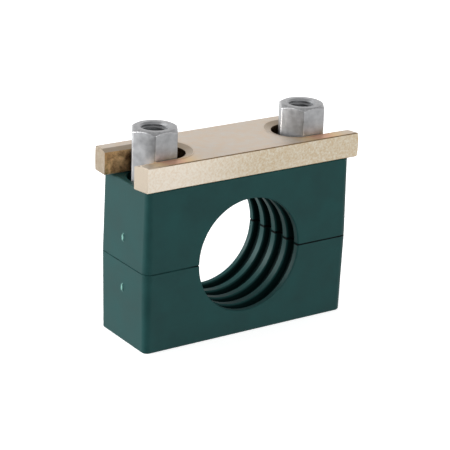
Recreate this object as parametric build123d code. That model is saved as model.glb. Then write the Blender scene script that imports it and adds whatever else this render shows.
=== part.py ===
from build123d import *
import math
import os

# Heavy two-bolt tube clamp for one tube: two equal moulded halves, a locking plate and two
# stacking bolts. Sizes are in millimetres. X runs along the clamp, Y along the tube and Z up
# from the base. The origin is the middle of the base.

# Clamp half: one moulding, used twice. Length and width are those of its outer face, the base
# or the top of the clamp, and the walls widen from there to the split by the draft.
body_length = 85.0
body_width = 30.0
half_height = 29.6
draft_angle = 1.05
body_corner_radius = 2.9
body_edge_break = 0.4
split_edge_break = 0.25

# Bore for the tube, ribbed so that it grips
tube_diameter = 42.0
rib_count = 5
rib_width = 2.4
groove_depth = 2.2
groove_flank_angle = 12.0
bore_rim_break = 0.35

# Moulding gate, a small nub in the middle of one end of each half
gate_height = 9.3
gate_length = 2.4
gate_width = 1.0
gate_stand_out = 0.35

# Bolt holes, each with a counterbore in the outer face
bolt_end_distance = 11.5
bolt_hole_play = 0.5
counterbore_play = 0.45
counterbore_depth = 10.0

# Stacking bolt: a shank under a long hexagon that takes the next bolt. Its hexagon stands out
# of the plate by one counterbore less the stacking gap, so that the next clamp seats on it.
thread_diameter = 10.0
thread_pitch = 1.5
hex_width = 15.5
hex_top_inset = 0.15
hex_chamfer_angle = 30.0
stacking_gap = 0.8
thread_depth = 18.0
countersink_depth = 1.05
drill_point_angle = 118.0
tip_above_base = 1.2
tip_chamfer = 1.2

# Locking plate: flat bar with a slot from each end, cut from the strip by a curved blade.
# The bar is as wide as the body at its split. Its long edges bulge and lean by the edge
# angle where they meet the flat faces.
plate_thickness = 9.0
plate_overhang = 1.7
plate_cut_radius = 110.0
plate_cut_offset = 8.9
plate_edge_angle = 8.0
plate_edge_break = 0.3
slot_play = 0.5
slot_end_gap = 2.4
slot_flare = 0.4
slot_roll_width = 2.2
slot_roll_depth = 0.8

# Worked out from the sizes above
split_growth = 2 * half_height * math.tan(math.radians(draft_angle))
split_length = body_length + split_growth
split_width = body_width + split_growth
bore_radius = tube_diameter / 2
groove_radius = bore_radius + groove_depth
rib_pitch = (split_width - rib_width) / (rib_count - 1)
closed_height = 2 * half_height
bolt_spacing = body_length - 2 * bolt_end_distance
bolt_hole_radius = thread_diameter / 2 + bolt_hole_play
hex_corner_radius = hex_width / 2 / math.cos(math.radians(30))
counterbore_radius = hex_corner_radius + counterbore_play
hex_length = 2 * counterbore_depth + plate_thickness - stacking_gap
hex_seat_z = closed_height - counterbore_depth
plate_width = split_width
plate_edge_bulge = plate_thickness / 2 * math.tan(math.radians(plate_edge_angle / 2))
plate_cut_length = body_length + 2 * plate_overhang
slot_radius = hex_width / 2 + slot_play

# How far a cutting shape reaches past what it cuts, and how close counts as touching
cutter_margin = 5.0
tolerance = 0.01


def clamp_block():
    """The drafted block of one half, its split face down on Z = 0."""
    outline = RectangleRounded(split_length, split_width, body_corner_radius)
    block = extrude(outline, amount=half_height, taper=draft_angle)
    outer_edges = block.faces().sort_by(Axis.Z)[-1].edges()
    block = chamfer(outer_edges, body_edge_break)
    split_edges = block.faces().sort_by(Axis.Z)[0].edges()
    return chamfer(split_edges, split_edge_break)


def bore_cutter():
    """The tube's space and its grip grooves, turned about the tube's axis."""
    reach = split_width / 2 + cutter_margin
    flank = groove_depth * math.tan(math.radians(groove_flank_angle))
    points = [(0, -reach), (bore_radius, -reach)]
    for groove in range(rib_count - 1):
        near_side = -split_width / 2 + rib_width + groove * rib_pitch
        far_side = near_side + rib_pitch - rib_width
        points.append((bore_radius, near_side))
        points.append((groove_radius, near_side + flank))
        points.append((groove_radius, far_side - flank))
        points.append((bore_radius, far_side))
    points += [(bore_radius, reach), (0, reach)]
    return revolve(make_face(Polyline(points, close=True)), Axis.Y)


def bolt_hole():
    """One bolt's hole through a half and the counterbore in its outer face."""
    hole = Cylinder(bolt_hole_radius, half_height + 2 * cutter_margin)
    hole = Pos(0, 0, half_height / 2) * hole
    recess = Cylinder(counterbore_radius, counterbore_depth + cutter_margin)
    recess_middle = half_height - counterbore_depth + (counterbore_depth + cutter_margin) / 2
    return hole + Pos(0, 0, recess_middle) * recess


def gate_nub():
    """The nub that is left where the moulding was filled, on the -X end."""
    end_x = split_length / 2 - gate_height * math.tan(math.radians(draft_angle))
    nub = Box(2 * gate_stand_out, gate_width, gate_length)
    nub = chamfer(nub.edges().filter_by(Axis.Y), gate_stand_out / 2)
    return Pos(-end_x, 0, gate_height) * nub


def is_bore_rim(edge):
    """Whether an edge lies along the bore's mouth in a drafted side wall."""
    middle = edge.position_at(0.5)
    wall_y = split_width / 2 - middle.Z * math.tan(math.radians(draft_angle))
    on_bore = abs(math.hypot(middle.X, middle.Z) - bore_radius) < tolerance
    in_wall = abs(abs(middle.Y) - wall_y) < tolerance
    return on_bore and in_wall and edge.length > bore_radius


def clamp_half():
    """One moulded half, its split face down on Z = 0."""
    half = clamp_block() - bore_cutter()
    for x in (-bolt_spacing / 2, bolt_spacing / 2):
        half -= Pos(x, 0, 0) * bolt_hole()
    half = chamfer(half.edges().filter_by(is_bore_rim), bore_rim_break)
    return half + gate_nub()


def stacking_bolt():
    """One stacking bolt on its own axis, its hexagon's seat on Z = 0."""
    shank_length = hex_seat_z - tip_above_base
    hexagon = extrude(RegularPolygon(hex_corner_radius, 6), amount=hex_length)
    top_radius = hex_width / 2 - hex_top_inset
    cone_height = hex_length + top_radius * math.tan(math.radians(hex_chamfer_angle))
    cone_radius = cone_height / math.tan(math.radians(hex_chamfer_angle))
    hexagon &= Pos(0, 0, cone_height / 2) * Cone(cone_radius, 0, cone_height)
    shank = Pos(0, 0, -shank_length / 2) * Cylinder(thread_diameter / 2, shank_length)
    shank = chamfer(shank.edges().sort_by(Axis.Z)[0], tip_chamfer)
    return hexagon + shank - stacking_thread()


def stacking_thread():
    """The tapped hole in the hexagon's top, at its core size."""
    core_radius = (thread_diameter - thread_pitch) / 2
    mouth_radius = core_radius + countersink_depth
    point_depth = core_radius / math.tan(math.radians(drill_point_angle / 2))
    outline = Polyline(
        (0, hex_length),
        (mouth_radius, hex_length),
        (core_radius, hex_length - countersink_depth),
        (core_radius, hex_length - thread_depth),
        (0, hex_length - thread_depth - point_depth),
        close=True,
    )
    return revolve(make_face(Plane.XZ * outline), Axis.Z)


def blade_cut(crown_x):
    """The curved line that one stroke of the blade leaves, its crown at crown_x."""
    reach = plate_width / 2 + cutter_margin
    return ThreePointArc(
        (crown_x + blade_back(-reach), -reach),
        (crown_x + blade_back(0), 0),
        (crown_x + blade_back(reach), reach),
    )


def plate_blank():
    """The bar between two strokes of the blade, one end bulged and the other hollow."""
    inset = plate_width / 2 - plate_edge_bulge
    top = plate_thickness
    section = make_face(
        Polyline((inset, top), (-inset, top))
        + ThreePointArc((-inset, top), (-plate_width / 2, top / 2), (-inset, 0))
        + Polyline((-inset, 0), (inset, 0))
        + ThreePointArc((inset, 0), (plate_width / 2, top / 2), (inset, top))
    )
    bar_length = plate_cut_length + 2 * plate_width
    bar = extrude(Plane.YZ * section, amount=bar_length / 2, both=True)

    left_cut = blade_cut(left_crown_x())
    right_cut = blade_cut(left_crown_x() + plate_cut_length)
    footprint = make_face(
        left_cut
        + Line(left_cut @ 1, right_cut @ 1)
        + right_cut
        + Line(right_cut @ 0, left_cut @ 0)
    )
    return bar & extrude(footprint, amount=plate_thickness)


def blade_back(y):
    """How far the blade's curve lies behind its crown where it crosses the bar at y."""
    from_crown = y - plate_cut_offset
    return plate_cut_radius - math.sqrt(plate_cut_radius**2 - from_crown**2)


def left_crown_x():
    """The left cut's crown, with the plate's outermost points equally far from the middle."""
    left_overhang = blade_back(slot_radius + slot_flare)
    right_overhang = blade_back(-plate_width / 2)
    return -(plate_cut_length + left_overhang + right_overhang) / 2


def plate_slot():
    """The slot that opens to +X, its closed end round the bolt's hexagon."""
    closed_end_x = bolt_spacing / 2 - hex_corner_radius - slot_end_gap
    centre_x = closed_end_x + slot_radius
    mouth_x = plate_cut_length / 2
    past_x = mouth_x + 2 * cutter_margin
    flare_rate = slot_flare / (mouth_x - centre_x)
    past_half_width = slot_radius + flare_rate * (past_x - centre_x)
    wall = Line((centre_x, slot_radius), (past_x, past_half_width))
    mouth = Line(wall @ 1, (past_x, -past_half_width))
    other_wall = Line(mouth @ 1, (centre_x, -slot_radius))
    closed_end = ThreePointArc(other_wall @ 1, (closed_end_x, 0), wall @ 0)
    outline = make_face(wall + mouth + other_wall + closed_end)
    cutter = extrude(outline, amount=plate_thickness + 2 * cutter_margin)
    return Pos(0, 0, -cutter_margin) * cutter


def is_slot_rim(edge):
    """Whether an edge of the plate's top lies along a slot, where the punch rolls it down."""
    middle = edge.position_at(0.5)
    beside_slot = abs(middle.Y) < slot_radius + slot_flare
    return beside_slot and abs(middle.X) < plate_cut_length / 2 - slot_roll_width


def locking_plate():
    """The plate that stops both bolts from turning, its underside on Z = 0."""
    plate = plate_blank() - plate_slot() - Rot(0, 0, 180) * plate_slot()
    top = plate.faces().sort_by(Axis.Z)[-1]
    slot_rims = top.edges().filter_by(is_slot_rim)
    plate = chamfer(slot_rims, slot_roll_width, slot_roll_depth, reference=top)
    rims = plate.faces().sort_by(Axis.Z)[0].edges() + plate.faces().sort_by(Axis.Z)[-1].edges()
    return chamfer(rims, plate_edge_break)


half = clamp_half()
bolt = stacking_bolt()
pieces = {
    "lower_clamp_half": Pos(0, 0, half_height) * Rot(180, 0, 0) * half,
    "upper_clamp_half": Pos(0, 0, half_height) * half,
    "locking_plate": Pos(0, 0, closed_height) * locking_plate(),
    "left_stacking_bolt": Pos(-bolt_spacing / 2, 0, hex_seat_z) * bolt,
    "right_stacking_bolt": Pos(bolt_spacing / 2, 0, hex_seat_z) * bolt,
}

os.makedirs("parts", exist_ok=True)
for name, piece in pieces.items():
    export_step(piece, f"parts/{name}.step")
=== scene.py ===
import bmesh
import bpy
import math
from mathutils import Matrix, Vector


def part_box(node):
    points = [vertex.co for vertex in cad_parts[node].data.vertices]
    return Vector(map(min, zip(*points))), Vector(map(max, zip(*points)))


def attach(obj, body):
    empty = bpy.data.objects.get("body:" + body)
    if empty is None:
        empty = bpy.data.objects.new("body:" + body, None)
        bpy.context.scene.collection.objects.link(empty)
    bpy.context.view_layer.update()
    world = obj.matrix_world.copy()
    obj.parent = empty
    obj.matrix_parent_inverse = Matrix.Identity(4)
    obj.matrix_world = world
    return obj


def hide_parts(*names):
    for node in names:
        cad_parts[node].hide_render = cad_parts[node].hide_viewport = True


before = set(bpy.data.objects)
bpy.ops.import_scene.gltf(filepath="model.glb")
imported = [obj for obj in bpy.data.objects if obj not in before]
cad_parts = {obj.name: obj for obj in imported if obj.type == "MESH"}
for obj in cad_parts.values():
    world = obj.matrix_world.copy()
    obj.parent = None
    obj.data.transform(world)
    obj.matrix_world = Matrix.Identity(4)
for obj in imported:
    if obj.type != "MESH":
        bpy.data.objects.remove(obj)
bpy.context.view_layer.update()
scene = bpy.context.scene
mm = 0.001
splitZ = 29.6 * mm           # above the base, where the two halves meet
print("frame loaded:", sorted(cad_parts))


# camera

cameraSetup = {
    "aim": (0.0, 0.0, splitZ),
    "azimuth": -34.43,      # degrees round Z, from straight in front of the bore
    "elevation": 20.27,
    "roll": 2.15,
    "distance": 665.1 * mm,
    "sideways": -0.15 * mm,
    "upwards": 5.86 * mm,
    "lens": 148.07,         # mm
    "sensorWidth": 36.0,    # mm
    "nearest": 0.01,        # m, nothing nearer is drawn
}


def cameraAxes(azimuth, elevation, roll):
    az, el = math.radians(azimuth), math.radians(elevation)
    back = Vector((math.sin(az) * math.cos(el), -math.cos(az) * math.cos(el), math.sin(el)))
    right = Vector((math.cos(az), math.sin(az), 0.0))
    right = Matrix.Rotation(math.radians(roll), 3, back) @ right
    return right, back.cross(right), back


def addCamera(setup):
    right, up, back = cameraAxes(setup["azimuth"], setup["elevation"], setup["roll"])
    data = bpy.data.cameras.new("camera")
    data.sensor_width = setup["sensorWidth"]
    data.lens = setup["lens"]
    data.clip_start = setup["nearest"]
    camera = bpy.data.objects.new("camera", data)
    scene.collection.objects.link(camera)
    place = Vector(setup["aim"]) + setup["distance"] * back
    place += setup["sideways"] * right + setup["upwards"] * up
    pose = Matrix((right, up, back)).transposed().to_4x4()
    pose.translation = place
    camera.matrix_world = pose
    scene.camera = camera


addCamera(cameraSetup)
scene.view_settings.view_transform = "Standard"


# helpers for materials

noiseLow, noiseHigh = 0.3, 0.7      # nearly all of a noise's values lie between these


def linearColour(hexCode):
    parts = [int(hexCode[i:i + 2], 16) / 255 for i in (1, 3, 5)]
    return [c / 12.92 if c <= 0.04045 else ((c + 0.055) / 1.055) ** 2.4 for c in parts] + [1.0]


# adds a node; an input given a socket is linked, any other value is set
def addNode(tree, kind, settings={}, inputs={}):
    node = tree.nodes.new(kind)
    for name, value in settings.items():
        setattr(node, name, value)
    for name, value in inputs.items():
        if isinstance(value, bpy.types.NodeSocket):
            tree.links.new(value, node.inputs[name])
        else:
            node.inputs[name].default_value = value
    return node


def setStops(ramp, stops):
    elements = ramp.color_ramp.elements
    while len(elements) > 1:
        elements.remove(elements[-1])
    elements[0].position, elements[0].color = stops[0]
    for position, colour in stops[1:]:
        elements.new(position).color = colour
    return ramp.outputs["Color"]


def newMaterial(name):
    material = bpy.data.materials.new(name)
    material.use_nodes = True
    return material, material.node_tree, material.node_tree.nodes["Principled BSDF"]


# studio: pale floor, a white room that darkens towards one front corner, two soft lamps

studio = {
    "floorColour": "#EDEDED",
    "floorSize": 6.0,         # m
    "floorGlow": 0.62,        # what the camera sees on top of the lit floor
    "fill": 0.5,              # light from all round
    "ceiling": 0.45,          # how bright reflections see the unlit ceiling
    "ceilingFrom": 0.75,      # share of the way up at which it is that dark
    "brightSide": (0.5, 0.866, 0.0),
    "darkFrom": -0.95,        # along the bright side, where reflections see the room go dark
    "whiteFrom": -0.25,
    "darkness": 0.05,         # how bright the dark corner is left
    "keyPower": 18.0,         # W
    "keyPlace": (-1.0, 0.62, 0.42),
    "keySize": 0.7,           # m across
    "frontPower": 5.8,
    "frontPlace": (-0.1, -1.1, 0.5),
    "frontSize": 0.9,
    "lampAim": (0.0, 0.0, 0.035),
}


# 1 for a ray of any of these kinds, 0 for the rest
def seenWhite(tree, rays):
    path = addNode(tree, "ShaderNodeLightPath")
    seen = path.outputs[rays[0]]
    for ray in rays[1:]:
        either = addNode(tree, "ShaderNodeMath", {"operation": "MAXIMUM"}, {
            0: seen, 1: path.outputs[ray]})
        seen = either.outputs[0]
    return seen


def addWorld(setup):
    world = bpy.data.worlds.new("studio")
    world.use_nodes = True
    tree = world.node_tree
    tree.nodes.clear()
    direction = addNode(tree, "ShaderNodeTexCoord").outputs["Generated"]
    height = addNode(tree, "ShaderNodeSeparateXYZ", {}, {"Vector": direction}).outputs["Z"]
    ceiling = addNode(tree, "ShaderNodeMapRange", {"interpolation_type": "SMOOTHSTEP"}, {
        "Value": height, "From Min": 0.0, "From Max": setup["ceilingFrom"],
        "To Min": 1.0, "To Max": setup["ceiling"]})
    along = addNode(tree, "ShaderNodeVectorMath", {"operation": "DOT_PRODUCT"}, {
        0: direction, 1: setup["brightSide"]})
    walls = addNode(tree, "ShaderNodeMapRange", {"interpolation_type": "SMOOTHSTEP"}, {
        "Value": along.outputs["Value"], "From Min": setup["darkFrom"],
        "From Max": setup["whiteFrom"], "To Min": setup["darkness"], "To Max": 1.0})
    seenRoom = addNode(tree, "ShaderNodeMath", {"operation": "MULTIPLY"}, {
        0: ceiling.outputs["Result"], 1: walls.outputs["Result"]})
    fill = addNode(tree, "ShaderNodeBackground", {}, {"Strength": setup["fill"]})
    room = addNode(tree, "ShaderNodeBackground", {}, {"Strength": seenRoom.outputs[0]})
    white = addNode(tree, "ShaderNodeBackground", {}, {"Strength": 1.0})
    for light in (fill, room, white):
        light.inputs["Color"].default_value = (1, 1, 1, 1)
    reflected = seenWhite(tree, ["Is Glossy Ray", "Is Transmission Ray"])
    mixed = addNode(tree, "ShaderNodeMixShader", {}, {
        0: reflected, 1: fill.outputs[0], 2: room.outputs[0]})
    direct = seenWhite(tree, ["Is Camera Ray"])
    mixed = addNode(tree, "ShaderNodeMixShader", {}, {
        0: direct, 1: mixed.outputs[0], 2: white.outputs[0]})
    addNode(tree, "ShaderNodeOutputWorld", {}, {"Surface": mixed.outputs[0]})
    scene.world = world


def addLamp(name, setup):
    data = bpy.data.lights.new(name, "AREA")
    data.shape = "DISK"
    data.size = setup[name + "Size"]
    data.energy = setup[name + "Power"]
    lamp = bpy.data.objects.new(name, data)
    scene.collection.objects.link(lamp)
    place = Vector(setup[name + "Place"])
    turn = (place - Vector(setup["lampAim"])).to_track_quat("Z", "Y")
    lamp.matrix_world = Matrix.Translation(place) @ turn.to_matrix().to_4x4()


def addFloor(setup):
    material, tree = newMaterial("painted studio floor")[:2]
    tree.nodes.clear()
    paint = addNode(tree, "ShaderNodeBsdfDiffuse", {}, {
        "Color": linearColour(setup["floorColour"])})
    glow = addNode(tree, "ShaderNodeEmission", {}, {"Strength": setup["floorGlow"]})
    dark = addNode(tree, "ShaderNodeEmission", {}, {"Strength": 0.0})
    seen = seenWhite(tree, ["Is Camera Ray", "Is Transmission Ray"])
    glowSeen = addNode(tree, "ShaderNodeMixShader", {}, {
        0: seen, 1: dark.outputs[0], 2: glow.outputs[0]})
    total = addNode(tree, "ShaderNodeAddShader", {}, {
        0: paint.outputs[0], 1: glowSeen.outputs[0]})
    addNode(tree, "ShaderNodeOutputMaterial", {}, {"Surface": total.outputs[0]})

    shape = bmesh.new()
    bmesh.ops.create_grid(shape, x_segments=1, y_segments=1, size=setup["floorSize"] / 2)
    mesh = bpy.data.meshes.new("floor")
    shape.to_mesh(mesh)
    shape.free()
    mesh.materials.append(material)
    floor = bpy.data.objects.new("floor", mesh)
    scene.collection.objects.link(floor)
    floor.visible_glossy = False


addWorld(studio)
addLamp("key", studio)
addLamp("front", studio)
addFloor(studio)
print("camera and studio in place")


# helpers for pieces

# how near two points lie to count as one
mergeWithin = {
    "solid": 0.002 * mm,
    "combined": 0.001 * mm,
    "turned": 0.0005 * mm,
    "thread": 0.002 * mm,
    "cut": 0.0001 * mm,
}
flatWithin = 0.6            # degrees between triangles of one flat face


def newPiece(name, shape, materials, body, nodeName):
    mesh = bpy.data.meshes.new(name)
    shape.to_mesh(mesh)
    shape.free()
    for material in materials:
        mesh.materials.append(material)
    piece = bpy.data.objects.new(name, mesh)
    scene.collection.objects.link(piece)
    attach(piece, body)
    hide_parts(nodeName)
    return piece


# smooth shading, with creases where faces meet at more than the angle
def shadeByAngle(shape, angle):
    for face in shape.faces:
        face.smooth = True
    for edge in shape.edges:
        closed = len(edge.link_faces) == 2
        edge.smooth = closed and edge.calc_face_angle(0.0) < math.radians(angle)


# a solid's own mesh, its loose triangles merged into whole faces
def mergedCopy(nodeName):
    shape = bmesh.new()
    shape.from_mesh(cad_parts[nodeName].data)
    bmesh.ops.remove_doubles(shape, verts=shape.verts, dist=mergeWithin["solid"])
    bmesh.ops.dissolve_limit(shape, angle_limit=math.radians(flatWithin), verts=shape.verts,
                             edges=shape.edges, delimit=set())
    bmesh.ops.recalc_face_normals(shape, faces=shape.faces)
    return shape


# rounds the edges a little and lets the large faces keep their flat shading
def softenEdges(piece, setup):
    soften = piece.modifiers.new("soft edges", "BEVEL")
    soften.width = setup["edgeWidth"]
    soften.segments = setup["edgeSegments"]
    soften.limit_method = "ANGLE"
    soften.angle_limit = math.radians(setup["edgeAngle"])
    piece.data.shade_smooth()
    weigh = piece.modifiers.new("flat faces stay flat", "WEIGHTED_NORMAL")
    weigh.keep_sharp = True
    weigh.weight = setup["faceWeight"]


# cuts, joins or intersects two shapes; both are used up
def combined(first, second, operation):
    carriers = []
    for label, shape in (("first", first), ("second", second)):
        mesh = bpy.data.meshes.new(label)
        bmesh.ops.recalc_face_normals(shape, faces=shape.faces)
        shape.to_mesh(mesh)
        shape.free()
        carrier = bpy.data.objects.new(label, mesh)
        scene.collection.objects.link(carrier)
        carriers.append(carrier)
    join = carriers[0].modifiers.new("combine", "BOOLEAN")
    join.operation = operation
    join.solver = "EXACT"
    join.object = carriers[1]
    evaluated = carriers[0].evaluated_get(bpy.context.evaluated_depsgraph_get())
    mesh = bpy.data.meshes.new_from_object(evaluated)
    result = bmesh.new()
    result.from_mesh(mesh)
    bpy.data.meshes.remove(mesh)
    for carrier in carriers:
        data = carrier.data
        bpy.data.objects.remove(carrier)
        bpy.data.meshes.remove(data)
    bmesh.ops.remove_doubles(result, verts=result.verts, dist=mergeWithin["combined"])
    return result


# a closed round shape from (radius, height) points, turned about Z; they start and end on it
def turned(points, steps):
    shape = bmesh.new()
    line = [shape.verts.new((radius, 0.0, height)) for radius, height in points]
    edges = [shape.edges.new(pair) for pair in zip(line, line[1:])]
    bmesh.ops.spin(shape, geom=line + edges, cent=(0, 0, 0), axis=(0, 0, 1),
                   angle=math.tau, steps=steps, use_merge=True)
    bmesh.ops.remove_doubles(shape, verts=shape.verts, dist=mergeWithin["turned"])
    bmesh.ops.recalc_face_normals(shape, faces=shape.faces)
    return shape


# materials

moulding = {
    "colour": "#134140",
    "deepColour": "#0F3938",
    "gateColour": "#7FB0A6",  # where the filled mould was broken off
    "roughness": 0.50,
    "glossSpread": 0.05,      # how much the roughness varies, up and down
    "ior": 1.49,
    "shine": 0.22,            # specular level
    "grainSize": 0.35,        # mm, the fine texture of the mould
    "grainStrength": 0.15,
    "grainDepth": 0.05,       # mm
    "cloudSize": 11.0,        # mm, faint flow marks
    "gateX": -42.9,           # mm
    "gateHeight": 9.3,        # mm from the split
    "gateSquash": 0.45,       # in height, so that the mark is taller than wide
    "gateCore": 0.35,         # mm, palest as far as this
    "gateReach": 0.8,         # mm
    "gateShare": 0.9,
    "ribRadius": 21.0,        # mm, the crests of the ribs
    "paintedGrooveShade": 0.2,       # how much of the colour the painted shade leaves deep in the grooves
    "grooveFrom": 0.05,       # mm past the crests, where the shade starts
    "grooveFull": 1.0,
    "grooveTo": 2.3,
    "grooveReach": 13.2,      # mm to each side of the middle
}


# dark green polypropylene, injection moulded: satin and dull, with faint clouds from the flow,
# a fine mould grain, paler stressed plastic round the gate and painted shade in the bore's grooves
def greenMoulding(setup):
    material, tree, shader = newMaterial("green moulded polypropylene")
    place = addNode(tree, "ShaderNodeTexCoord").outputs["Object"]
    clouds = addNode(tree, "ShaderNodeTexNoise", {}, {
        "Vector": place, "Scale": 1 / (setup["cloudSize"] * mm), "Detail": 3.0, "Roughness": 0.55})
    tint = addNode(tree, "ShaderNodeValToRGB", {}, {"Fac": clouds.outputs["Fac"]})
    tint = setStops(tint, [(noiseLow, linearColour(setup["deepColour"])),
                           (noiseHigh, linearColour(setup["colour"]))])

    # the gate marks, one on each half, mirrored about the split
    where = addNode(tree, "ShaderNodeSeparateXYZ", {}, {"Vector": place})
    fromSplit = addNode(tree, "ShaderNodeMath", {"operation": "SUBTRACT"}, {
        0: where.outputs["Z"], 1: splitZ})
    fromSplit = addNode(tree, "ShaderNodeMath", {"operation": "ABSOLUTE"}, {
        0: fromSplit.outputs[0]})
    mirrored = addNode(tree, "ShaderNodeCombineXYZ", {}, {
        "X": where.outputs["X"], "Y": where.outputs["Y"], "Z": fromSplit.outputs[0]})
    fromGate = addNode(tree, "ShaderNodeVectorMath", {"operation": "SUBTRACT"}, {
        0: mirrored.outputs[0], 1: (setup["gateX"] * mm, 0.0, setup["gateHeight"] * mm)})
    fromGate = addNode(tree, "ShaderNodeVectorMath", {"operation": "MULTIPLY"}, {
        0: fromGate.outputs[0], 1: (1.0, 1.0, setup["gateSquash"])})
    fromGate = addNode(tree, "ShaderNodeVectorMath", {"operation": "LENGTH"}, {
        0: fromGate.outputs[0]})
    atGate = addNode(tree, "ShaderNodeMapRange", {}, {
        "Value": fromGate.outputs["Value"], "From Min": setup["gateCore"] * mm,
        "From Max": setup["gateReach"] * mm, "To Min": setup["gateShare"], "To Max": 0.0})
    tint = addNode(tree, "ShaderNodeMix", {"data_type": "RGBA"}, {
        0: atGate.outputs["Result"], 6: tint, 7: linearColour(setup["gateColour"])}).outputs[2]

    # painted shade in the grooves of the bore, darker the deeper they are
    fromAxis = addNode(tree, "ShaderNodeCombineXYZ", {}, {
        "X": where.outputs["X"], "Z": fromSplit.outputs[0]})
    fromAxis = addNode(tree, "ShaderNodeVectorMath", {"operation": "LENGTH"}, {
        0: fromAxis.outputs[0]})
    deep = addNode(tree, "ShaderNodeMapRange", {"interpolation_type": "SMOOTHSTEP"}, {
        "Value": fromAxis.outputs["Value"],
        "From Min": (setup["ribRadius"] + setup["grooveFrom"]) * mm,
        "From Max": (setup["ribRadius"] + setup["grooveFull"]) * mm, "To Min": 0.0, "To Max": 1.0})
    inside = addNode(tree, "ShaderNodeMath", {"operation": "LESS_THAN"}, {
        0: fromAxis.outputs["Value"], 1: (setup["ribRadius"] + setup["grooveTo"]) * mm})
    across = addNode(tree, "ShaderNodeMath", {"operation": "ABSOLUTE"}, {0: where.outputs["Y"]})
    across = addNode(tree, "ShaderNodeMath", {"operation": "LESS_THAN"}, {
        0: across.outputs[0], 1: setup["grooveReach"] * mm})
    deep = addNode(tree, "ShaderNodeMath", {"operation": "MULTIPLY"}, {
        0: deep.outputs["Result"], 1: inside.outputs[0]})
    deep = addNode(tree, "ShaderNodeMath", {"operation": "MULTIPLY"}, {
        0: deep.outputs[0], 1: across.outputs[0]})
    left = addNode(tree, "ShaderNodeMapRange", {}, {
        "Value": deep.outputs[0], "To Min": 1.0, "To Max": setup["paintedGrooveShade"]})
    shaded = addNode(tree, "ShaderNodeVectorMath", {"operation": "SCALE"}, {
        0: tint, "Scale": left.outputs["Result"]})
    tree.links.new(shaded.outputs[0], shader.inputs["Base Color"])

    gloss = addNode(tree, "ShaderNodeMapRange", {}, {
        "Value": clouds.outputs["Fac"], "From Min": noiseLow, "From Max": noiseHigh,
        "To Min": setup["roughness"] - setup["glossSpread"],
        "To Max": setup["roughness"] + setup["glossSpread"]})
    tree.links.new(gloss.outputs["Result"], shader.inputs["Roughness"])
    grain = addNode(tree, "ShaderNodeTexNoise", {}, {
        "Vector": place, "Scale": 1 / (setup["grainSize"] * mm), "Detail": 2.0})
    bump = addNode(tree, "ShaderNodeBump", {}, {
        "Height": grain.outputs["Fac"], "Strength": setup["grainStrength"],
        "Distance": setup["grainDepth"] * mm})
    tree.links.new(bump.outputs["Normal"], shader.inputs["Normal"])
    shader.inputs["IOR"].default_value = setup["ior"]
    # the painted shade takes the sheen out of the grooves too
    shine = addNode(tree, "ShaderNodeMath", {"operation": "MULTIPLY"}, {
        0: left.outputs["Result"], 1: setup["shine"]})
    tree.links.new(shine.outputs[0], shader.inputs["Specular IOR Level"])
    return material


# what the six states of the plate's finish share
passivation = {
    "paintedLightingShare": 0.85,        # how far the painted light and shade colour covers
    "bloomY": -12.0,          # mm, the blooms' middle, near the front edge
    "bloomCore": 2.0,         # mm, strongest as far as this
    "bloomShare": 0.8,
    "glossSpread": 0.08,      # how much the roughness varies, up and down
    "pitDepth": 0.08,         # mm
}

rolledTop = {
    "colour": "#EBE2D7",
    "warmColour": "#EED9C2",
    "bloomColour": "#FFD48A",
    "bloomAt": 31.0,          # mm, the bolts' distance from the middle
    "bloomReach": 14.0,       # mm
    "blushColour": "#E9B39C",
    "blushReach": 6.5,        # mm
    "roughness": 0.42,
    "mottleSize": 4.0,        # mm, the blotches of the passivation
    "mottleBlend": 0.22,      # how softly the blotches run into each other
    "grainSize": 0.35,        # mm
    "pits": 0.15,             # how strongly the pits show
}

rolledEdge = {
    "colour": "#E9E1D0",
    "warmColour": "#D5C4A6",
    "fleckColour": "#DDB988",
    "fleckFrom": 0.42,        # of the blotches' own values
    "fleckFull": 0.66,
    "fleckShare": 0.24,
    # painted highlight: paler towards the left end, where the lamp's reflection falls
    "paintedLightingColour": "#FFF6E8",
    "paintedLightingAcross": "X",
    "paintedLightingTo": -34.0,          # mm
    "paintedLightingFrom": 8.0,          # mm
    "roughness": 0.5,
    "mottleSize": 0.75,       # mm
    "mottleBlend": 0.17,
    "grainSize": 0.5,         # mm, sandy scale marks
    "pits": 0.5,
}

slotWall = {
    "colour": "#FFD8A0",
    # painted shade: dark towards the slots' closed ends
    "warmColour": "#7C5535",
    "paintedLightingColour": "#2A1D11",
    "paintedLightingAcross": "side",     # by the distance from the middle, to either side
    "paintedLightingTo": 27.0,           # mm
    "paintedLightingFrom": 38.0,         # mm
    "roughness": 0.5,
    "mottleSize": 3.2,        # mm
    "mottleBlend": 0.16,
    "grainSize": 0.5,         # mm
    "pits": 0.4,
}

slotRim = {
    "colour": "#C7B9AA",
    "warmColour": "#C5B299",
    "bloomColour": "#FFCB74",
    "bloomAt": 33.0,          # mm
    "bloomReach": 13.0,       # mm
    "blushColour": "#E4A98C",
    "blushReach": 5.5,        # mm
    "roughness": 0.4,
    "mottleSize": 5.0,        # mm
    "mottleBlend": 0.2,
    "grainSize": 0.4,         # mm
    "pits": 0.15,
}

barEnd = {
    "colour": "#ABA090",
    "warmColour": "#978874",
    # painted light and shade: paler at the front, darker towards the rear
    "paintedLightingColour": "#B9AE9F",
    "paintedLightingAcross": "Y",
    "paintedLightingTo": -9.0,           # mm
    "paintedLightingFrom": 9.0,          # mm
    "roughness": 0.5,
    "mottleSize": 1.6,        # mm
    "mottleBlend": 0.2,
    "grainSize": 0.5,         # mm
    "pits": 0.35,
}

# painted dark reflection on the bar's broken edges, in brown, with a painted highlight towards the
# left end
paintedRimReflection = {
    "colour": "#B59A76",
    "warmColour": "#8C7050",
    "paintedLightingColour": "#F2E2CC",
    "paintedLightingAcross": "X",
    "paintedLightingTo": -43.0,          # mm
    "paintedLightingFrom": -30.0,        # mm
    "roughness": 0.55,
    "mottleSize": 1.2,        # mm
    "mottleBlend": 0.2,
    "grainSize": 0.3,         # mm
    "pits": 0.3,
}


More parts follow.
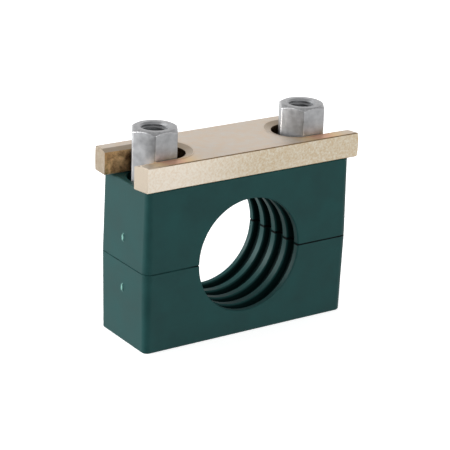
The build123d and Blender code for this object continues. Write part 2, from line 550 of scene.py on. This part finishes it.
# flat steel with yellow passivated zinc: pale cream metal in soft blotches over a pitted skin.
# The same finish lies smooth on the rolled faces, sandy on the rolled edges and bronze on the cuts.
def yellowZinc(name, setup, shared):
    material, tree, shader = newMaterial(name)
    place = addNode(tree, "ShaderNodeTexCoord").outputs["Object"]
    mottle = addNode(tree, "ShaderNodeTexNoise", {}, {
        "Vector": place, "Scale": 1 / (setup["mottleSize"] * mm), "Detail": 5.0,
        "Roughness": 0.62})
    tint = addNode(tree, "ShaderNodeValToRGB", {}, {"Fac": mottle.outputs["Fac"]})
    tint = setStops(tint, [(0.5 - setup["mottleBlend"], linearColour(setup["colour"])),
                           (0.5 + setup["mottleBlend"], linearColour(setup["warmColour"]))])
    apart = addNode(tree, "ShaderNodeSeparateXYZ", {}, {"Vector": place}).outputs
    side = addNode(tree, "ShaderNodeMath", {"operation": "ABSOLUTE"}, {0: apart["X"]}).outputs[0]
    where = {"X": apart["X"], "Y": apart["Y"], "side": side}
    # painted light and shade: a colour laid across the piece, paler where light falls and darker
    # where shade falls
    if "paintedLightingColour" in setup:
        paintedLighting = addNode(tree, "ShaderNodeMapRange", {"interpolation_type": "SMOOTHSTEP"}, {
            "Value": where[setup["paintedLightingAcross"]], "From Min": setup["paintedLightingTo"] * mm,
            "From Max": setup["paintedLightingFrom"] * mm, "To Min": shared["paintedLightingShare"], "To Max": 0.0})
        tint = addNode(tree, "ShaderNodeMix", {"data_type": "RGBA"}, {
            0: paintedLighting.outputs["Result"], 6: tint, 7: linearColour(setup["paintedLightingColour"])}).outputs[2]
    if "fleckColour" in setup:
        flecks = addNode(tree, "ShaderNodeMapRange", {}, {
            "Value": mottle.outputs["Fac"], "From Min": setup["fleckFrom"],
            "From Max": setup["fleckFull"], "To Min": 0.0, "To Max": setup["fleckShare"]})
        tint = addNode(tree, "ShaderNodeMix", {"data_type": "RGBA"}, {
            0: flecks.outputs["Result"], 6: tint, 7: linearColour(setup["fleckColour"])}).outputs[2]
    if "bloomColour" in setup:
        past = addNode(tree, "ShaderNodeMath", {"operation": "SUBTRACT"}, {
            0: side, 1: setup["bloomAt"] * mm})
        away = addNode(tree, "ShaderNodeCombineXYZ", {}, {"X": past.outputs[0], "Y": apart["Y"]})
        away = addNode(tree, "ShaderNodeVectorMath", {"operation": "DISTANCE"}, {
            0: away.outputs[0], 1: (0.0, shared["bloomY"] * mm, 0.0)})
        for colour, reach in (("bloomColour", "bloomReach"), ("blushColour", "blushReach")):
            share = addNode(tree, "ShaderNodeMapRange", {"interpolation_type": "SMOOTHSTEP"}, {
                "Value": away.outputs["Value"], "From Min": shared["bloomCore"] * mm,
                "From Max": setup[reach] * mm, "To Min": shared["bloomShare"], "To Max": 0.0})
            tint = addNode(tree, "ShaderNodeMix", {"data_type": "RGBA"}, {
                0: share.outputs["Result"], 6: tint, 7: linearColour(setup[colour])}).outputs[2]
    grain = addNode(tree, "ShaderNodeTexNoise", {}, {
        "Vector": place, "Scale": 1 / (setup["grainSize"] * mm), "Detail": 3.0, "Roughness": 0.6})
    gloss = addNode(tree, "ShaderNodeMapRange", {}, {
        "Value": grain.outputs["Fac"], "From Min": noiseLow, "From Max": noiseHigh,
        "To Min": setup["roughness"] - shared["glossSpread"],
        "To Max": setup["roughness"] + shared["glossSpread"]})
    bump = addNode(tree, "ShaderNodeBump", {}, {
        "Height": grain.outputs["Fac"], "Strength": setup["pits"],
        "Distance": shared["pitDepth"] * mm})
    tree.links.new(tint, shader.inputs["Base Color"])
    tree.links.new(gloss.outputs["Result"], shader.inputs["Roughness"])
    tree.links.new(bump.outputs["Normal"], shader.inputs["Normal"])
    shader.inputs["Metallic"].default_value = 1.0
    return material


boltFinish = {
    "colour": "#BABBBD",
    "shadeColour": "#A4A5A7",
    "roughness": 0.42,
    "glossSpread": 0.06,
    "mottleSize": 3.0,        # mm, the clouds of the plating bath
    "mottleBlend": 0.15,
}

turnedFace = {
    "colour": "#CCCCCD",
    "shadeColour": "#B0B0B2",
    "roughness": 0.38,
    "glossSpread": 0.06,
    "mottleSize": 1.0,        # mm
    "mottleBlend": 0.15,
}


# drawn hexagon steel with bright zinc: cool grey metal, softly glossy, clouded by the plating bath
def brightZinc(name, setup):
    material, tree, shader = newMaterial(name)
    place = addNode(tree, "ShaderNodeTexCoord").outputs["Object"]
    mottle = addNode(tree, "ShaderNodeTexNoise", {}, {
        "Vector": place, "Scale": 1 / (setup["mottleSize"] * mm), "Detail": 4.0,
        "Roughness": 0.6})
    tint = addNode(tree, "ShaderNodeValToRGB", {}, {"Fac": mottle.outputs["Fac"]})
    tint = setStops(tint, [(0.5 - setup["mottleBlend"], linearColour(setup["shadeColour"])),
                           (0.5 + setup["mottleBlend"], linearColour(setup["colour"]))])
    gloss = addNode(tree, "ShaderNodeMapRange", {}, {
        "Value": mottle.outputs["Fac"], "From Min": noiseLow, "From Max": noiseHigh,
        "To Min": setup["roughness"] - setup["glossSpread"],
        "To Max": setup["roughness"] + setup["glossSpread"]})
    tree.links.new(tint, shader.inputs["Base Color"])
    tree.links.new(gloss.outputs["Result"], shader.inputs["Roughness"])
    shader.inputs["Metallic"].default_value = 1.0
    return material


# painted shade for the seam between the halves, where shadow sits in the gap
seam = {
    "faintColour": "#143837",
    "darkColour": "#020707",
    "faintTo": -30.0,         # mm along the clamp
    "darkFrom": -20.0,        # mm
    "darkStop": 0.8,          # how deep the change has to go for the dark colour
    "patchSize": 3.0,         # mm
    "patchBlend": 0.15,
    "patchDepth": 0.35,       # how much a patch adds or takes
    "roughness": 0.7,
    "shine": 0.1,             # specular level
}


# painted shade in the seam between the halves, on the same polypropylene: dull, from dark green
# on the left end to nearly black at the bore and past it, in uneven patches
def paintedSeamShade(setup):
    material, tree, shader = newMaterial("green moulded polypropylene, painted seam shade")
    place = addNode(tree, "ShaderNodeTexCoord").outputs["Object"]
    along = addNode(tree, "ShaderNodeSeparateXYZ", {}, {"Vector": place}).outputs["X"]
    patches = addNode(tree, "ShaderNodeTexNoise", {}, {
        "Vector": place, "Scale": 1 / (setup["patchSize"] * mm), "Detail": 3.0})
    patches = addNode(tree, "ShaderNodeMapRange", {}, {
        "Value": patches.outputs["Fac"], "From Min": 0.5 - setup["patchBlend"],
        "From Max": 0.5 + setup["patchBlend"], "To Min": -setup["patchDepth"],
        "To Max": setup["patchDepth"]})
    depth = addNode(tree, "ShaderNodeMapRange", {}, {
        "Value": along, "From Min": setup["faintTo"] * mm, "From Max": setup["darkFrom"] * mm})
    depth = addNode(tree, "ShaderNodeMath", {"operation": "ADD", "use_clamp": True}, {
        0: depth.outputs["Result"], 1: patches.outputs["Result"]})
    tint = addNode(tree, "ShaderNodeValToRGB", {}, {"Fac": depth.outputs[0]})
    tint = setStops(tint, [(0.0, linearColour(setup["faintColour"])),
                           (setup["darkStop"], linearColour(setup["darkColour"]))])
    tree.links.new(tint, shader.inputs["Base Color"])
    shader.inputs["Roughness"].default_value = setup["roughness"]
    shader.inputs["Specular IOR Level"].default_value = setup["shine"]
    return material


greenPlastic = greenMoulding(moulding)
seamShadePlastic = paintedSeamShade(seam)
topSkin = yellowZinc("yellow passivated zinc, rolled face", rolledTop, passivation)
edgeSkin = yellowZinc("yellow passivated zinc, rolled edge", rolledEdge, passivation)
wallSkin = yellowZinc("yellow passivated zinc, punched slot wall", slotWall, passivation)
rollSkin = yellowZinc("yellow passivated zinc, rolled down slot rim", slotRim, passivation)
endSkin = yellowZinc("yellow passivated zinc, sheared end", barEnd, passivation)
rimReflectionSkin = yellowZinc("yellow passivated zinc, edge with painted dark reflection", paintedRimReflection, passivation)
boltMetal = brightZinc("bright zinc plated steel", boltFinish)
turnedMetal = brightZinc("bright zinc plated steel, turned face", turnedFace)
print("materials made")


# clamp halves

halfSetup = {
    "seamBreak": 0.45 * mm,        # on the split's edges in the bore
    "seamHalfWidth": 0.5 * mm,     # how far from the split the painted seam shade reaches
    "seamLean": 0.3,               # least lean of a face in the seam, 1 is level
    "boreReach": 23.3 * mm,        # the bore's split edges lie within this of the middle
    "edgeWidth": 0.12 * mm,        # softening of the moulding's edges
    "edgeSegments": 2,
    "edgeAngle": 18.0,             # degrees, gentler edges stay as they are
    "faceWeight": 100,             # the largest faces decide how their edges are shaded
}
touching = 0.01 * mm        # from the split, to count as lying on it


def addHalf(name, nodeName, body, setup):
    shape = mergedCopy(nodeName)
    inBore = [edge for edge in shape.edges
              if all(abs(vert.co.z - splitZ) < touching and abs(vert.co.x) < setup["boreReach"]
                     for vert in edge.verts)]
    bmesh.ops.bevel(shape, geom=inBore, offset=setup["seamBreak"], offset_type="OFFSET",
                    affect="EDGES", segments=1, profile=0.5, material=-1)
    finishes = [greenPlastic, seamShadePlastic]
    for face in shape.faces:
        fromSplit = abs(face.calc_center_median().z - splitZ)
        inSeam = touching < fromSplit < setup["seamHalfWidth"]
        # the seam's faces get the painted seam shade
        if inSeam and abs(face.normal.z) > setup["seamLean"]:
            face.material_index = finishes.index(seamShadePlastic)
    piece = newPiece(name, shape, finishes, body, nodeName)
    softenEdges(piece, setup)


addHalf("lower_half_moulding", "lower_clamp_half", "lower_body", halfSetup)
addHalf("upper_half_moulding", "upper_clamp_half", "upper_body", halfSetup)
print("clamp halves dressed")


# locking plate

plateSetup = {
    "edgeWidth": 0.15 * mm,        # softening of the bar's edges
    "edgeSegments": 2,
    "edgeAngle": 18.0,             # degrees
    "faceWeight": 100,
    "rollWidth": 1.0 * mm,         # where the punch rolled the slots' edges down
    "rollSegments": 5,
    "level": 0.98,                 # how level a face lies, 1 is flat: the rolled faces
    "rolledDown": 0.85,            # the slots' rims
    "leaning": 0.4,                # the broken edges
    "facingSide": 0.8,             # how squarely a face looks to the side: the long edges
    "facingEnd": 0.4,              # the sheared ends
    "sideDepth": 1.0 * mm,         # the long edges lie within this of the sides
    "endDepth": 5.0 * mm,          # the sheared ends lie within this of the ends
    "darkRimsUntil": 3.0 * mm,         # from the ends, where the painted dark rims stop
}


def addPlate(setup):
    shape = mergedCopy("locking_plate")
    endX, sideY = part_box("locking_plate")[1][:2]
    rollEdges = [edge for edge in shape.edges if len(edge.link_faces) == 2
                 and max(face.normal.z for face in edge.link_faces) > setup["level"]
                 and setup["rolledDown"] < min(face.normal.z for face in edge.link_faces)
                 < setup["level"]]
    bmesh.ops.bevel(shape, geom=rollEdges, offset=setup["rollWidth"], offset_type="OFFSET",
                    affect="EDGES", segments=setup["rollSegments"], profile=0.5, material=-1)
    finishes = [topSkin, edgeSkin, wallSkin, rollSkin, endSkin, rimReflectionSkin]
    for face in shape.faces:
        x, y = (abs(place) for place in face.calc_center_median()[:2])
        toEnd, toSide, lies = (abs(share) for share in face.normal)
        if lies > setup["level"]:
            skin = topSkin
        elif lies > setup["rolledDown"]:
            skin = rollSkin
        # the broken edges take the painted dark reflection, away from the ends
        elif lies > setup["leaning"] and x < endX - setup["darkRimsUntil"]:
            skin = rimReflectionSkin
        elif toSide > setup["facingSide"] and y > sideY - setup["sideDepth"]:
            skin = edgeSkin
        elif toEnd > setup["facingEnd"] and x > endX - setup["endDepth"]:
            skin = endSkin
        else:
            skin = wallSkin
        face.material_index = finishes.index(skin)
    piece = newPiece("locking_plate_bar", shape, finishes,
                     "plate_body", "locking_plate")
    softenEdges(piece, setup)


addPlate(plateSetup)
print("locking plate dressed")


# stacking bolts

boltSetup = {
    "spacing": 62.0 * mm,
    "hexWidth": 15.5 * mm,         # across the flats
    "hexLength": 28.2 * mm,
    "topInset": 0.45 * mm,         # the chamfer starts this far inside the flats
    "chamferAngle": 32.0,          # degrees
    "rimWidth": 0.18 * mm,         # softening of the turned top's rims
    "rimSegments": 2,
    "rimBulge": (0.3, 0.35),       # of the rim's width out and down, for a rounded rim
    "cornerWidth": 0.3 * mm,       # softening of the drawn corners
    "cornerSegments": 3,
    "topSteps": 96,                # round the chamfer
    "topReach": 4.0 * mm,          # how far the chamfer's tool reaches past the hexagon
    "threadRadius": 5.0 * mm,
    "pitch": 1.5 * mm,
    "threadDepth": 0.92 * mm,
    "threadLength": 30.0 * mm,     # on the shank, from its tip
    "threadSteps": 48,             # round one turn, and round the hole and the shank
    "shankRadius": 4.96 * mm,
    "shankReach": 2.0 * mm,        # of the plain shank into the hexagon
    "tipChamfer": 1.2 * mm,
    "holeRadius": 4.25 * mm,
    "holeDepth": 18.0 * mm,
    "holeThreadDepth": 15.0 * mm,
    "tapUndercut": 0.02 * mm,      # the tap's core is this much slimmer than the drill
    "mouthDepth": 1.05 * mm,       # of the countersink
    "pointAngle": 118.0,           # degrees
    "overlap": 1.0 * mm,           # of two shapes that are joined or cut
    "creaseAngle": 32.0,           # degrees
}

# one turn of the thread, as shares of the pitch
threadForm = {
    "rootFlat": 0.16,
    "flank": 0.36,
    "crestFlat": 0.12,
    "turnsBelow": 1.5,             # the helix starts this far below the rod and is cut off
    "turnsMore": 2,                # helix turns beyond the rod's own
}


# a threaded rod, closed at both ends, from height 0 up to the length
def threadedRod(rootRadius, crestRadius, pitch, length, steps, form):
    shape = bmesh.new()
    flank = form["flank"] * pitch
    crest = form["rootFlat"] + form["crestFlat"]
    points = [(rootRadius, 0.0), (rootRadius, form["rootFlat"] * pitch),
              (crestRadius, form["rootFlat"] * pitch + flank), (crestRadius, crest * pitch + flank),
              (rootRadius, pitch)]
    turns = math.ceil(length / pitch) + form["turnsMore"]
    start = form["turnsBelow"] * pitch
    line = [shape.verts.new((radius, 0.0, height - start)) for radius, height in points]
    edges = [shape.edges.new(pair) for pair in zip(line, line[1:])]
    bmesh.ops.spin(shape, geom=line + edges, cent=(0, 0, 0), axis=(0, 0, 1),
                   angle=math.tau * turns, steps=steps * turns, dvec=(0, 0, pitch / steps))
    bmesh.ops.remove_doubles(shape, verts=shape.verts, dist=mergeWithin["thread"])
    for height, side in ((0.0, -1), (length, 1)):
        everything = list(shape.verts) + list(shape.edges) + list(shape.faces)
        cut = bmesh.ops.bisect_plane(shape, geom=everything, dist=mergeWithin["cut"],
                                     plane_co=(0, 0, height), plane_no=(0, 0, side),
                                     clear_outer=True)
        rim = [item for item in cut["geom_cut"] if isinstance(item, bmesh.types.BMEdge)]
        bmesh.ops.contextual_create(shape, geom=rim)
    bmesh.ops.recalc_face_normals(shape, faces=shape.faces)
    return shape


def addBolt(name, nodeName, body, centreX, setup):
    low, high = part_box(nodeName)
    hexLength = setup["hexLength"]
    seatZ = high[2] - hexLength
    corner = setup["hexWidth"] / 2 / math.cos(math.pi / 6)
    past = setup["overlap"]
    finishes = [boltMetal, turnedMetal]
    turnedIndex = finishes.index(turnedMetal)

    # hexagon with softened corners, standing on its seat
    hexagon = bmesh.new()
    bmesh.ops.create_circle(hexagon, cap_ends=True, radius=corner, segments=6)
    bmesh.ops.rotate(hexagon, verts=hexagon.verts, cent=(0, 0, 0),
                     matrix=Matrix.Rotation(math.pi / 2, 3, "Z"))
    raised = bmesh.ops.extrude_face_region(hexagon, geom=list(hexagon.faces))
    topVerts = [item for item in raised["geom"] if isinstance(item, bmesh.types.BMVert)]
    bmesh.ops.translate(hexagon, verts=topVerts, vec=(0, 0, hexLength))
    uprights = [edge for edge in hexagon.edges
                if abs(edge.verts[0].co.z - edge.verts[1].co.z) > hexLength / 2]
    bmesh.ops.bevel(hexagon, geom=uprights, offset=setup["cornerWidth"], offset_type="OFFSET",
                    affect="EDGES", segments=setup["cornerSegments"], profile=0.5, material=-1)

    # turned chamfer round its top
    slope = math.tan(math.radians(setup["chamferAngle"]))
    topRadius = setup["hexWidth"] / 2 - setup["topInset"]
    wide = topRadius + setup["topReach"]
    rim = setup["rimWidth"]
    rimOut, rimDown = rim * setup["rimBulge"][0], rim * setup["rimBulge"][1] * slope
    cone = turned([(0.0, -past), (wide, -past), (wide, hexLength - setup["topReach"] * slope),
                   (topRadius + rim, hexLength - rim * slope),
                   (topRadius + rimOut, hexLength - rimDown),
                   (topRadius - rim, hexLength), (0.0, hexLength)], setup["topSteps"])
    bolt = combined(hexagon, cone, "INTERSECT")
    upright, leaning, level = 0.1, 0.3, 0.97      # how far up a face looks, 1 is straight up
    rims = [edge for edge in bolt.edges if len(edge.link_faces) == 2
            and min(face.normal.z for face in edge.link_faces) < upright
            and leaning < max(face.normal.z for face in edge.link_faces) < level]
    bmesh.ops.bevel(bolt, geom=rims, offset=rim, offset_type="OFFSET", affect="EDGES",
                    segments=setup["rimSegments"], profile=0.5, material=turnedIndex)
    for face in bolt.faces:
        if face.normal.z > leaning:
            face.material_index = turnedIndex

    # tapped hole from the top: drilled, then threaded
    pointDepth = setup["holeRadius"] / math.tan(math.radians(setup["pointAngle"] / 2))
    mouth = setup["mouthDepth"]
    drill = turned([
        (0.0, hexLength - setup["holeDepth"] - pointDepth),
        (setup["holeRadius"], hexLength - setup["holeDepth"]),
        (setup["holeRadius"], hexLength - mouth),
        (setup["holeRadius"] + 2 * mouth, hexLength + mouth),
        (0.0, hexLength + mouth)], setup["threadSteps"])
    bolt = combined(bolt, drill, "DIFFERENCE")
    tap = threadedRod(setup["holeRadius"] - setup["tapUndercut"], setup["threadRadius"],
                      setup["pitch"], setup["holeThreadDepth"] + past, setup["threadSteps"],
                      threadForm)
    bmesh.ops.translate(tap, verts=tap.verts, vec=(0, 0, hexLength - setup["holeThreadDepth"]))
    bolt = combined(bolt, tap, "DIFFERENCE")

    # shank below the seat: plain first, then threaded to the chamfered tip
    tipZ = low[2] - seatZ
    plainFrom = tipZ + setup["threadLength"] - past
    shank = turned([(0.0, plainFrom), (setup["shankRadius"], plainFrom),
                    (setup["shankRadius"], setup["shankReach"]), (0.0, setup["shankReach"])],
                   setup["threadSteps"])
    bolt = combined(bolt, shank, "UNION")
    rod = threadedRod(setup["threadRadius"] - setup["threadDepth"], setup["threadRadius"],
                      setup["pitch"], setup["threadLength"], setup["threadSteps"], threadForm)
    for vert in rod.verts:
        reach = Vector((vert.co.x, vert.co.y)).length
        most = setup["threadRadius"] - setup["tipChamfer"] + vert.co.z
        if reach > most:
            vert.co.x *= most / reach
            vert.co.y *= most / reach
    bmesh.ops.translate(rod, verts=rod.verts, vec=(0, 0, tipZ))
    bolt = combined(bolt, rod, "UNION")

    bmesh.ops.translate(bolt, verts=bolt.verts, vec=(centreX, 0, seatZ))
    bmesh.ops.recalc_face_normals(bolt, faces=bolt.faces)
    shadeByAngle(bolt, setup["creaseAngle"])
    loose = sum(1 for edge in bolt.edges if len(edge.link_faces) != 2)
    print(name, len(bolt.faces), "faces,", loose, "open edges")
    newPiece(name, bolt, finishes, body, nodeName)


addBolt("left_threaded_bolt", "left_stacking_bolt", "left_bolt_body",
        -boltSetup["spacing"] / 2, boltSetup)
addBolt("right_threaded_bolt", "right_stacking_bolt", "right_bolt_body",
        boltSetup["spacing"] / 2, boltSetup)
print("bolts threaded")


# the plain solids keep a finish too
nodeMaterials = {
    "lower_clamp_half": greenPlastic,
    "upper_clamp_half": greenPlastic,
    "locking_plate": topSkin,
    "left_stacking_bolt": boltMetal,
    "right_stacking_bolt": boltMetal,
}
for name, material in nodeMaterials.items():
    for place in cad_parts[name].material_slots:
        place.material = material
print("materials set")
